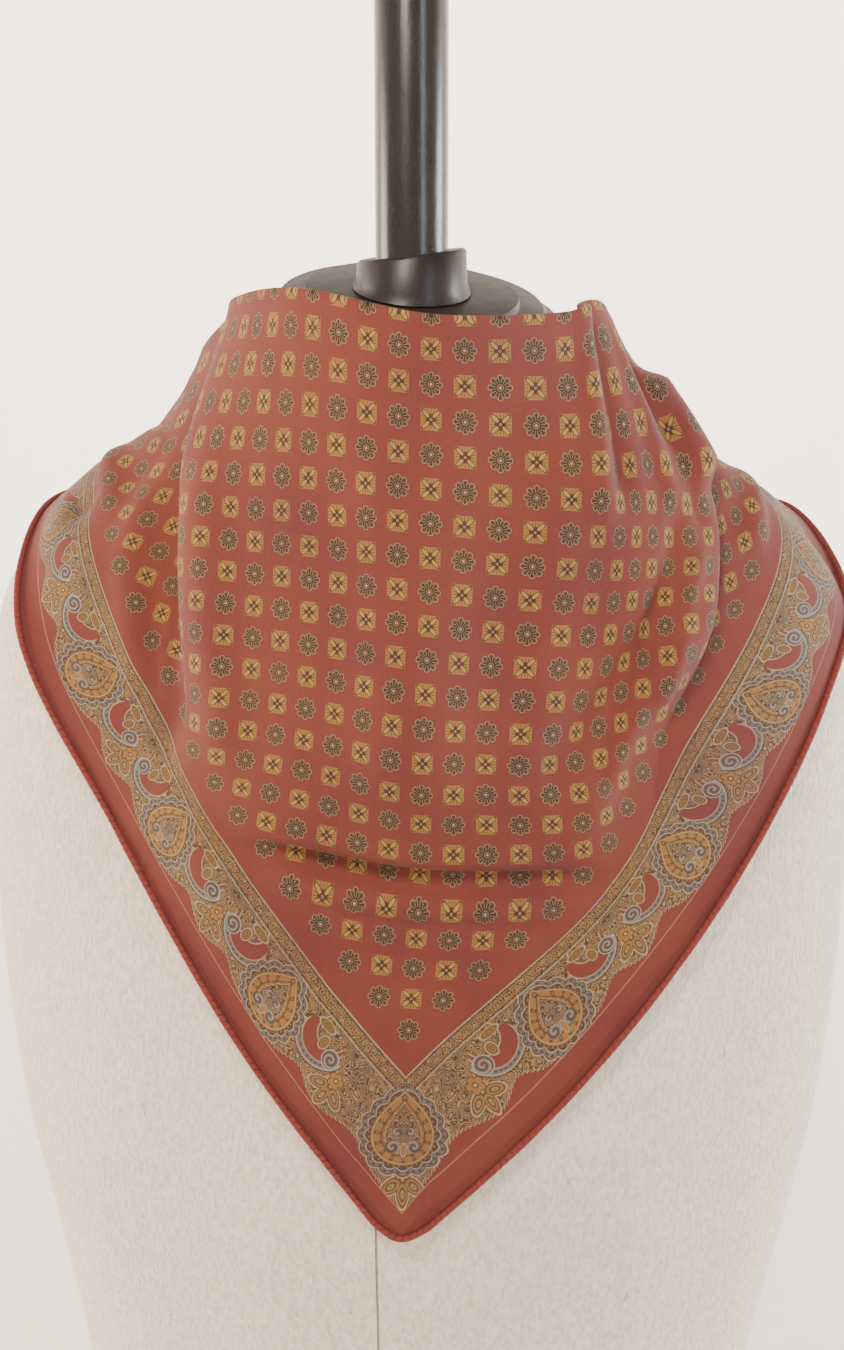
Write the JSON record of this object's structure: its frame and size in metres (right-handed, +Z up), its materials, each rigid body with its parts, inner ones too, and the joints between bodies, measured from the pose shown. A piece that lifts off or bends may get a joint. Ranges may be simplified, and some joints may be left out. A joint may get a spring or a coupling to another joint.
{
  "type": "square scarf on dress form",
  "caption": "Square foulard folded into a triangle and draped over the neck, chest and shoulders of a limbless table-top dress form on a pole and round base.",
  "frame": {"origin": "middle of the base's underside, on the surface that the form stands on", "axes": "+Z up along the pole; -Y towards the front of the scarf, where its point hangs; +X to the right in the front view"},
  "size_m": [0.3572, 0.3, 0.94],
  "materials": {
    "foulard": "soft twill, brick red print",
    "foulard_hem": "rolled hem, dark red",
    "linen_cover": "natural linen felt",
    "lacquered_wood": "dark lacquer, semi-gloss, worn",
    "lacquered_pole": "dark gloss lacquer",
    "painted_base": "dark satin paint"
  },
  "bodies": {
    "root": {"scarf_outer_layer": "foulard", "scarf_inner_layer": "foulard", "scarf_outer_hem": "foulard_hem", "scarf_inner_hem": "foulard_hem", "form_torso": "linen_cover", "neck_cap": "lacquered_wood", "neck_collar": "lacquered_wood", "pole": "lacquered_pole", "base": "painted_base"}
  },
  "joints": []
}
